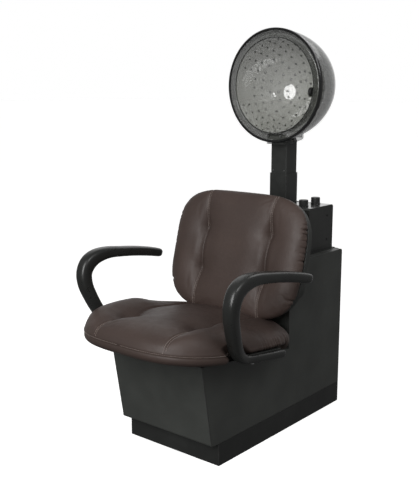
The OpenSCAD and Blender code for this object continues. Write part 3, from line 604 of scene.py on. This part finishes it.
def back_relief(p):
    """How far the front is drawn in by the tufts and the seams."""
    side = np.abs(p[:, 0])
    off_seam = side - back_seam(p[:, 2])
    tufts = 0
    for w in BACK_TUFTS:
        away = np.hypot(side - back_seam(w), (p[:, 2] - w) * 0.85)
        tufts = tufts + 13 * bell(away, 32) + 7 * bell(away, 12)
    between = smooth_step(p[:, 2], 30, 100) * (1 - smooth_step(p[:, 2], 285, 350))
    crease = 7 * between * bell(off_seam + 5, 5)
    return tufts + (4 + 8 * between) * bell(off_seam, 14) + 3 * bell(off_seam, 5) + crease


def back_cushion():
    """The back's cover, made in the same way as the seat's."""
    # Distance forward in the back's frame, and share of the full outline there
    levels = [(-6.4, 0.01), (-6.4, 0.93), (-8.3, 0.955), (-7.8, 0.975), (-2, 0.988), (5, 0.990), (12, 0.988),
              (18, 0.972), (24, 0.94), (28.5, 0.895), (31.5, 0.83), (33, 0.73), (33.5, 0.55), (33.5, 0.3),
              (33.5, 0.01)]
    points, faces = crowned_form(levels, BACK_HALF_W, BACK_HALF_H, BACK_N_LOW, BACK_N_TOP)
    points = [(x, -depth, BACK_MID + w) for x, w, depth in points]
    back = piece("back_cushion_leather", points, faces, BACK, LEATHER)
    outward(back)
    remesh(back, 6)

    p = local(back, BACK)
    front = smooth_step(-p[:, 1], 10, 26)
    p[:, 1] += back_relief(p) * front
    set_local(back, BACK, p)

    def held(q):
        side = np.abs(q[:, 0])
        seam = np.abs(side - back_seam(q[:, 2])) < 3.6
        return (q[:, 1] > 3) | (seam & (q[:, 1] < 0))

    puff(back, BACK, held, cap=12)
    fit_axis(back, BACK, 0, 0, BACK_HALF_W)
    fit_axis(back, BACK, 2, BACK_MID, BACK_HALF_H)
    shape_back(back)
    return back


def shape_back(back):
    """Seams, and the folds and gathers at the side edges."""
    p = local(back, BACK)
    normal = local_normals(back, BACK)
    side = np.abs(p[:, 0])
    front = smooth_step(-p[:, 1], 2, 16)
    p -= normal * (seam_groove(side - back_seam(p[:, 2])) * front)[:, None]

    edge = 0.85 * smooth_step(side, 240, 280) * smooth_step(p[:, 1], -26, -10)
    for w, depth, width, slope in BACK_FOLDS:
        fold = p[:, 2] - w + slope * (side - 270)
        p -= normal * (depth * bell(fold, width) * edge)[:, None]

    edge = smooth_step(side, 250, 282) * smooth_step(p[:, 1], -20, -4)
    p -= normal * (pleats(p[:, 2], 17, 1.8) * edge * smooth_step(p[:, 2], 120, 180))[:, None]
    set_local(back, BACK, p)


# A seam's two rows of stitches, measured from the seam
STITCH_ROWS = (-3.9, 3.9)


class Needle:
    """Sews rows of stitches onto a piece and gathers them in one mesh."""

    LENGTH = 5.0
    PITCH = 6.4

    def __init__(self, cloth, place):
        self.place = place
        points = local(cloth, place)
        faces = [face.vertices[:] for face in cloth.data.polygons]
        self.tree = BVHTree.FromPolygons([Vector(p) for p in points], faces)
        self.points = []
        self.faces = []

    def sew(self, path, towards):
        """path is a list of points; each is dropped onto the cloth in the direction towards(point)."""
        landed = []
        for p in path:
            direction = Vector(towards(p)).normalized()
            hit, normal, _, _ = self.tree.ray_cast(Vector(p) - direction * 80, direction)
            if hit is not None:
                landed.append((hit, normal))
        travelled = 0.0
        due = 0.0
        for (a, normal), (b, _) in zip(landed, landed[1:]):
            step = (b - a).length
            if step > 12:
                continue
            while due <= travelled + step and step > 1e-6:
                self.stitch(a.lerp(b, (due - travelled) / step), (b - a).normalized(), normal)
                due += self.PITCH
            travelled += step

    def stitch(self, middle, along, normal):
        """One short loop of thread, sunk at both ends."""
        across = along.cross(normal).normalized()
        first = len(self.points)
        sides = 6
        shape = ((-0.5, 0.45, -0.35), (-0.3, 0.8, 0.25), (0.3, 0.8, 0.25), (0.5, 0.45, -0.35))
        for where, radius, lift in shape:
            centre = middle + along * (where * self.LENGTH) + normal * lift
            for i in range(sides):
                angle = 2 * math.pi * i / sides
                out = across * (radius * math.cos(angle)) + normal * (radius * math.sin(angle))
                self.points.append(centre + out)
        self.faces += [tuple(first + i for i in face) for face in ring_faces(len(shape), sides)]

    def finish(self, name, body):
        thread = piece(name, self.points, self.faces, self.place, THREAD)
        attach(thread, body)


def sew_seat(seat):
    """Double rows along the seams, from the front edge to the tufts, and one row over the welt."""
    needle = Needle(seat, DECK)
    for side in (-1, 1):
        for row in STITCH_ROWS:
            path = []
            for y in np.arange(-262, -72 + side * SEAT_ASKEW, 3.0):
                seam = float(seat_seam(y - side * SEAT_ASKEW)) + row
                path.append((side * seam + float(seat_shift(y)), y, 120))
            needle.sew(path, lambda p: (0, 0, -1))
    angles = np.linspace(math.radians(-178), math.radians(-2), 420)
    x, y = superellipse(angles, SEAT_N_FRONT)
    rows = [(SEAT_HALF_W * a, SEAT_MID + SEAT_HALF_D * b, WELT_LEVEL + 4.2) for a, b in zip(x, y)]
    rows = [p for p in rows if p[1] < -48]
    needle.sew(rows, lambda p: (-p[0], SEAT_MID - p[1], 0))
    needle.finish("seat_stitching", "chair_base")


def sew_back(back):
    """Double rows along the seams, below the lower tufts and above the upper ones."""
    needle = Needle(back, BACK)
    for side in (-1, 1):
        for row in STITCH_ROWS:
            for low, high in ((-32, BACK_TUFTS[1] - 8), (BACK_TUFTS[0] + 8, 414)):
                path = []
                for w in np.arange(low, high, 3.0):
                    path.append((side * (float(back_seam(w)) + row), -30, w))
                needle.sew(path, lambda p: (0, 1, 0))
    needle.finish("back_stitching", "chair_base")


def upholstery():
    seat = seat_cushion()
    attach(seat, "chair_base")
    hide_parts("seat_cushion")
    sew_seat(seat)

    back = back_cushion()
    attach(back, "chair_base")
    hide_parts("back_cushion")
    sew_back(back)


# ---- arms -------------------------------------------------------------------

ARM_SPREAD = 324
ARM_SQUARENESS = 3.2
# Lengths over which the rear tip and the foot are rounded
ARM_TIP = 21
ARM_FOOT = 5
# Highest level over the deck of the part of the foot that lies under the seat
ARM_SEAT_LEVEL = 39.5
# Centre line from the rear tip to the foot: x from the spread, y, z, thickness, width
ARM_PATH = np.array([
    (14, 309, 597, 28, 40), (13, 285, 604, 33, 45), (9, 230, 616.5, 35, 47), (3, 157, 630, 36, 48),
    (-1, 82, 640.5, 37, 49), (-1, 18, 646.5, 41, 49), (0, -36, 641, 49, 49), (1, -73, 622, 54, 48),
    (1, -92, 589, 50, 47), (-3, -91, 548, 47, 46), (-10, -76, 505, 44, 45), (-19, -55, 460, 41, 45),
    (-29, -29, 420, 38, 44), (-39, 5, 391, 33, 44), (-45, 50, 374, 29, 44), (-42, 120, 364.5, 28, 44),
    (-38, 185, 356.5, 28, 43), (-36, 224, 351.5, 28, 40)], float)


def spline(path, t):
    """Catmull-Rom curve through the path's points, t from 0 to 1."""
    last = len(path) - 1
    i = min(int(t * last), last - 1)
    t = t * last - i
    a, b = path[max(i - 1, 0)], path[i]
    c, d = path[i + 1], path[min(i + 2, last)]
    square = t * t * (2 * a - 5 * b + 4 * c - d)
    cube = t ** 3 * (3 * b - a - 3 * c + d)
    return 0.5 * (2 * b + t * (c - a) + square + cube)


def rounded_end(distance, length):
    """Share of the full section left at a distance from an end that is rounded over a length."""
    return math.sqrt(1 - (1 - min(distance / length, 1)) ** 2)


def arm(name, node, side):
    """Smooth moulding along the arm's centre line, rounded at both ends."""
    sides = 36
    tip_steps = [0, 0.002, 0.006, 0.012, 0.02, 0.03]
    foot_steps = [0.98, 0.99, 0.996, 1]
    steps = tip_steps + list(np.linspace(0.045, 0.965, 96)) + foot_steps
    rings = [spline(ARM_PATH, t) for t in steps]
    lengths = [np.linalg.norm((b - a)[:3]) for a, b in zip(rings, rings[1:])]
    travelled = np.concatenate([[0], np.cumsum(lengths)])
    section = superellipse(np.linspace(0, 2 * math.pi, sides, endpoint=False), ARM_SQUARENESS)
    points = []
    for k, (x, y, z, thickness, width) in enumerate(rings):
        ahead = rings[min(k + 1, len(rings) - 1)] - rings[max(k - 1, 0)]
        run = math.hypot(ahead[1], ahead[2])
        up_y, up_z = -ahead[2] / run, ahead[1] / run
        tip = max(rounded_end(travelled[k], ARM_TIP), 0.08)
        foot = 0.72 + 0.28 * rounded_end(travelled[-1] - travelled[k], ARM_FOOT)
        share = tip * foot
        for a, b in zip(*section):
            across = a * width / 2 * share
            high = b * thickness / 2 * share
            points.append((side * (ARM_SPREAD + x + across), y + up_y * high, z + up_z * high))
    obj = piece(name, points, ring_faces(len(rings), sides), CHAIR, URETHANE)
    outward(obj)
    p = local(obj, DECK)
    under = (p[:, 2] > ARM_SEAT_LEVEL) & (p[:, 1] > 45) & (np.abs(p[:, 0]) < 293)
    p[under, 2] = ARM_SEAT_LEVEL
    set_local(obj, DECK, p)
    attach(obj, "chair_base")
    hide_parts(node)


def arms():
    arm("left_arm_moulding", "left_arm", 1)
    arm("right_arm_moulding", "right_arm", -1)


# ---- hood -------------------------------------------------------------------

BOWL_RADIUS = 171
BOWL_DEPTH = 211
BOWL_WALL = 3
PROFILE_N = 2.1
HOLE_RADIUS = 2.4
HOLE_DROP = 15.5
# A hole's lip: its middle's distance from the hole's edge, and its radius
LIP_REACH = 1.0
LIP_RADIUS = 1.1
# Rings of air holes: distance from the pole along the wall, count, first angle, whether the sides are plain
HOLE_RINGS = (
    (36, 9, 0, False), (71, 18, 5, False), (106, 18, 5, False), (140, 18, 5, False),
    (175, 30, 10, False), (209, 30, 10, False), (242, 30, 10, True), (274, 30, 10, True),
)


def air_holes():
    """Centres of the bowl's air holes on its flattened wall."""
    centres = []
    for away, count, first, plain_sides in HOLE_RINGS:
        for i in range(count):
            angle = (first + 360 * i / count) % 360
            from_side = min(abs(angle - 178), abs(angle), abs(angle - 360))
            if plain_sides and from_side < 17:
                continue
            turn = math.radians(angle)
            centres.append((away * math.cos(turn), away * math.sin(turn) - HOLE_DROP))
    return centres


class BowlProfile:
    """The bowl's wall as a curve from its pole to its mouth."""

    def __init__(self):
        t = np.linspace(0, math.pi / 2, 3000)
        self.radius = BOWL_RADIUS * np.sin(t) ** (2 / PROFILE_N)
        self.depth = BOWL_DEPTH * np.cos(t) ** (2 / PROFILE_N)
        self.arc = np.concatenate([[0], np.cumsum(np.hypot(np.diff(self.radius), np.diff(self.depth)))])
        self.reach = self.arc[-1]

    def bend(self, flat, lift=0.0):
        """Wraps points of the flat disc onto the wall, lifted off its inner face."""
        away = np.hypot(flat[:, 0], flat[:, 1])
        turn = np.arctan2(flat[:, 1], flat[:, 0])
        r, d = np.interp(away, self.arc, self.radius), np.interp(away, self.arc, self.depth)
        dr = np.interp(away + 0.5, self.arc, self.radius) - np.interp(away - 0.5, self.arc, self.radius)
        dd = np.interp(away + 0.5, self.arc, self.depth) - np.interp(away - 0.5, self.arc, self.depth)
        size = np.maximum(np.hypot(dr, dd), 1e-9)
        r, d = r + lift * dd / size, d - lift * dr / size
        return np.stack([r * np.cos(turn), d, r * np.sin(turn)], 1)


def hole_shade_rims(profile):
    """A fine lip round every air hole, in a near-black finish that paints the shade round the hole."""
    around, across = 14, 5
    points, faces = [], []
    for x, y in air_holes():
        first = len(points)
        for i in range(around):
            turn = 2 * math.pi * i / around
            for k in range(across):
                roll = 2 * math.pi * k / across
                reach = HOLE_RADIUS + LIP_REACH + LIP_RADIUS * math.cos(roll)
                points.append((x + reach * math.cos(turn), y + reach * math.sin(turn), 0.8 * math.sin(roll)))
        for i in range(around):
            for k in range(across):
                a, b = first + i * across, first + (i + 1) % around * across
                faces.append((a + k, b + k, b + (k + 1) % across, a + (k + 1) % across))
    points = np.array(points)
    bent = profile.bend(points[:, :2], points[:, 2]).tolist()
    rims = piece("hood_hole_shade_rims", bent, faces, HOOD, SMOKE_HOLE_SHADE)
    outward(rims)
    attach(rims, "hood")


def perforated_bowl():
    """The inner bowl with real holes: a flat disc is cut, bent to the bowl's profile and thickened."""
    profile = BowlProfile()
    reach = profile.reach
    centres = np.array(air_holes())
    flat = []
    edges = []

    def loop(x0, y0, r, count):
        first = len(flat)
        for i in range(count):
            turn = 2 * math.pi * i / count
            flat.append(Vector((x0 + r * math.cos(turn), y0 + r * math.sin(turn))))
            edges.append((first + i, first + (i + 1) % count))

    loop(0, 0, reach, 160)
    for x, y in centres:
        loop(x, y, HOLE_RADIUS, 12)
    spacing = 6
    flat.append(Vector((0, 0)))
    for k in range(1, int(reach / spacing)):
        count = max(6, int(2 * math.pi * k))
        for i in range(count):
            turn = 2 * math.pi * (i + 0.5 * (k % 2)) / count
            x, y = k * spacing * math.cos(turn), k * spacing * math.sin(turn)
            if np.hypot(centres[:, 0] - x, centres[:, 1] - y).min() > HOLE_RADIUS + 2.2:
                flat.append(Vector((x, y)))
    points, _, triangles, _, _, _ = delaunay_2d_cdt(flat, edges, [], 0, 1e-4)
    flat = np.array([tuple(p) for p in points])
    kept = []
    for triangle in triangles:
        middle = flat[list(triangle)].mean(0)
        if np.hypot(*(centres - middle).T).min() > HOLE_RADIUS * 0.96:
            kept.append(tuple(triangle))
    bent = profile.bend(flat).tolist()
    bowl = piece("hood_bowl_perforated", bent, kept, HOOD, SMOKE_BOWL)
    # The wall's cut edges, in the holes and at the mouth, get the near-black finish: painted shade inside
    # each hole
    bowl.data.materials.append(SMOKE_HOLE_SHADE)
    wall = bowl.modifiers.new("wall", "SOLIDIFY")
    wall.material_offset_rim = 1
    wall.thickness = BOWL_WALL * MM
    facing = bowl.data.polygons[0].normal.dot(bowl.data.polygons[0].center - HOOD @ Vector((0, 0, 0)))
    wall.offset = 1.0 if facing > 0 else -1.0
    bake(bowl)
    bowl.data.set_sharp_from_angle(angle=math.radians(40))
    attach(bowl, "hood")
    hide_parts("hood_inner_bowl")
    hole_shade_rims(profile)


def rim_joint():
    """Moulded joint line across the top of the rim's channel."""
    points, faces = [], []
    inner, outer, half = 175.5, 196, 0.7
    channel_start, channel_width, channel_dip = 174.2, 23.1, 16
    steps = 12
    for i in range(steps + 1):
        r = inner + (outer - inner) * i / steps
        depth = channel_dip * math.sin(math.pi * (r - channel_start) / channel_width) - 1
        for x in (-half, half):
            points.append((x, depth - 0.5, r))
            points.append((x, depth + 0.6, r))
    for i in range(steps):
        a = 4 * i
        for face in ((0, 2, 6, 4), (1, 5, 7, 3), (0, 4, 5, 1), (2, 3, 7, 6)):
            faces.append(tuple(a + k for k in face))
    faces += [(0, 1, 3, 2), (4 * steps, 4 * steps + 2, 4 * steps + 3, 4 * steps + 1)]
    joint = piece("hood_rim_joint", points, faces, HOOD, GLOSS)
    outward(joint)
    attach(joint, "hood")


# ---- small parts ------------------------------------------------------------

BOX_TOP = 785
TIMER_AT = (113, 608)
HEAT_AT = (108, 698)


def dial_ticks(name, at, sweep, count):
    """Printed scale round a knob: short radial ticks, and a long one at the start."""
    inner, outer, outer_first, half_width = 21.5, 25.5, 28, 0.45
    points, faces = [], []
    for i in range(count):
        turn = math.radians(-90 - (360 - sweep) / 2 - sweep * i / (count - 1))
        long = outer_first if i == 0 else outer
        out = Vector((math.cos(turn), math.sin(turn), 0))
        across = Vector((-out.y, out.x, 0)) * half_width
        base = Vector((at[0], at[1], BOX_TOP + 0.05))
        first = len(points)
        for z in (0, 0.12):
            lift = Vector((0, 0, z))
            points += [base + out * inner - across + lift, base + out * long - across + lift,
                       base + out * long + across + lift, base + out * inner + across + lift]
        for face in ((3, 2, 1, 0), (4, 5, 6, 7), (0, 1, 5, 4), (1, 2, 6, 5), (2, 3, 7, 6), (3, 0, 4, 7)):
            faces.append(tuple(first + k for k in face))
    ticks = piece(name, points, faces, CHAIR, PAINT, smooth=False)
    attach(ticks, "chair_base")


# ---- studio, in metres -------------------------------------------------------

CAMERA_AT = (1.7504, -2.2914, 1.2200)
CAMERA_DOWN = 11.37
CAMERA_TURN = 39.65
CAMERA_LENS = 58.26
FLOOR_HALF = 60


def camera():
    data = bpy.data.cameras.new("camera")
    data.lens = CAMERA_LENS
    data.sensor_width = 36
    obj = bpy.data.objects.new("camera", data)
    obj.location = CAMERA_AT
    obj.rotation_euler = (math.radians(90 - CAMERA_DOWN), 0, math.radians(CAMERA_TURN))
    SCENE.collection.objects.link(obj)
    SCENE.camera = obj


def soft_box(name, at, aim, size, watts):
    data = bpy.data.lights.new(name, "AREA")
    data.shape = "ELLIPSE"
    data.size, data.size_y = size
    data.energy = watts
    light = bpy.data.objects.new(name, data)
    light.location = at
    light.rotation_euler = (Vector(aim) - Vector(at)).to_track_quat("-Z", "Y").to_euler()
    SCENE.collection.objects.link(light)


def soft_boxes():
    """A large key light, two smaller ones on the right, and one from behind."""
    soft_box("key", (0.89, -4.50, 2.69), (-0.06, 0.38, 1.2), (3.2, 3.8), 200)
    soft_box("side", (1.86, -0.82, 2.41), (-0.11, 0.34, 1.18), (0.5, 0.9), 10)
    soft_box("glow", (2.17, -0.08, 2.32), (-0.13, 0.32, 1.18), (1.2, 1.4), 7)
    soft_box("hair", (0.4, 2.6, 3.0), (0, 0, 0.8), (2.2, 1.2), 10)


def surround():
    """White where the camera sees it; as light, brightest behind the chair and dimmer in front and below."""
    world = bpy.data.worlds.new("surround")
    SCENE.world = world
    world.use_nodes = True
    nodes, links = world.node_tree.nodes, world.node_tree.links
    background = nodes["Background"]
    background.inputs["Color"].default_value = (1, 1, 1, 1)
    direction = nodes.new("ShaderNodeTexCoord").outputs["Generated"]

    def ramp(towards, start, end, low, high):
        """Brightness that goes from low to high with the share of the direction that points towards."""
        share = nodes.new("ShaderNodeVectorMath")
        share.operation = "DOT_PRODUCT"
        share.inputs[1].default_value = towards
        links.new(direction, share.inputs[0])
        level = nodes.new("ShaderNodeMapRange")
        level.interpolation_type = "SMOOTHSTEP"
        for key, value in (("From Min", start), ("From Max", end), ("To Min", low), ("To Max", high)):
            level.inputs[key].default_value = value
        links.new(share.outputs["Value"], level.inputs["Value"])
        return level.outputs["Result"]

    def combine(operation, a, b):
        node = nodes.new("ShaderNodeMath")
        node.operation = operation
        links.new(a, node.inputs[0])
        links.new(b, node.inputs[1])
        return node.outputs["Value"]

    behind = ramp((-0.635, 0.766, 0.1), 0.5, 0.97, 0.25, 1.0)
    above_floor = ramp((0, 0, 1), -0.9, 0.5, 0.32, 1.0)
    seen = nodes.new("ShaderNodeLightPath").outputs["Is Camera Ray"]
    strength = combine("MAXIMUM", combine("MULTIPLY", behind, above_floor), seen)
    links.new(strength, background.inputs["Strength"])


def pale_floor():
    """A wide plain floor that glows a little and lights nothing itself."""
    finish = surface("floor_pale", (0.90, 0.90, 0.89), 0.6, vary=0.01, vary_scale=2, rough_vary=0.03,
                     specular=0.2)
    shader = finish.node_tree.nodes["Principled BSDF"]
    shader.inputs["Emission Color"].default_value = (1, 1, 1, 1)
    shader.inputs["Emission Strength"].default_value = 0.66
    corners = [(x * FLOOR_HALF, y * FLOOR_HALF, 0) for x, y in ((-1, -1), (1, -1), (1, 1), (-1, 1))]
    mesh = bpy.data.meshes.new("floor")
    mesh.from_pydata(corners, [], [(0, 1, 2, 3)])
    mesh.materials.append(finish)
    floor = bpy.data.objects.new("floor", mesh)
    SCENE.collection.objects.link(floor)
    floor.visible_diffuse = False
    floor.visible_glossy = False


def studio():
    camera()
    soft_boxes()
    surround()
    pale_floor()
    SCENE.view_settings.view_transform = "Standard"
    SCENE.cycles.transparent_max_bounces = 40


studio()
paint_nodes()
soften_edges()
upholstery()
arms()
perforated_bowl()
rim_joint()
dial_ticks("timer_dial_marks", TIMER_AT, 300, 13)
dial_ticks("heat_dial_marks", HEAT_AT, 270, 4)
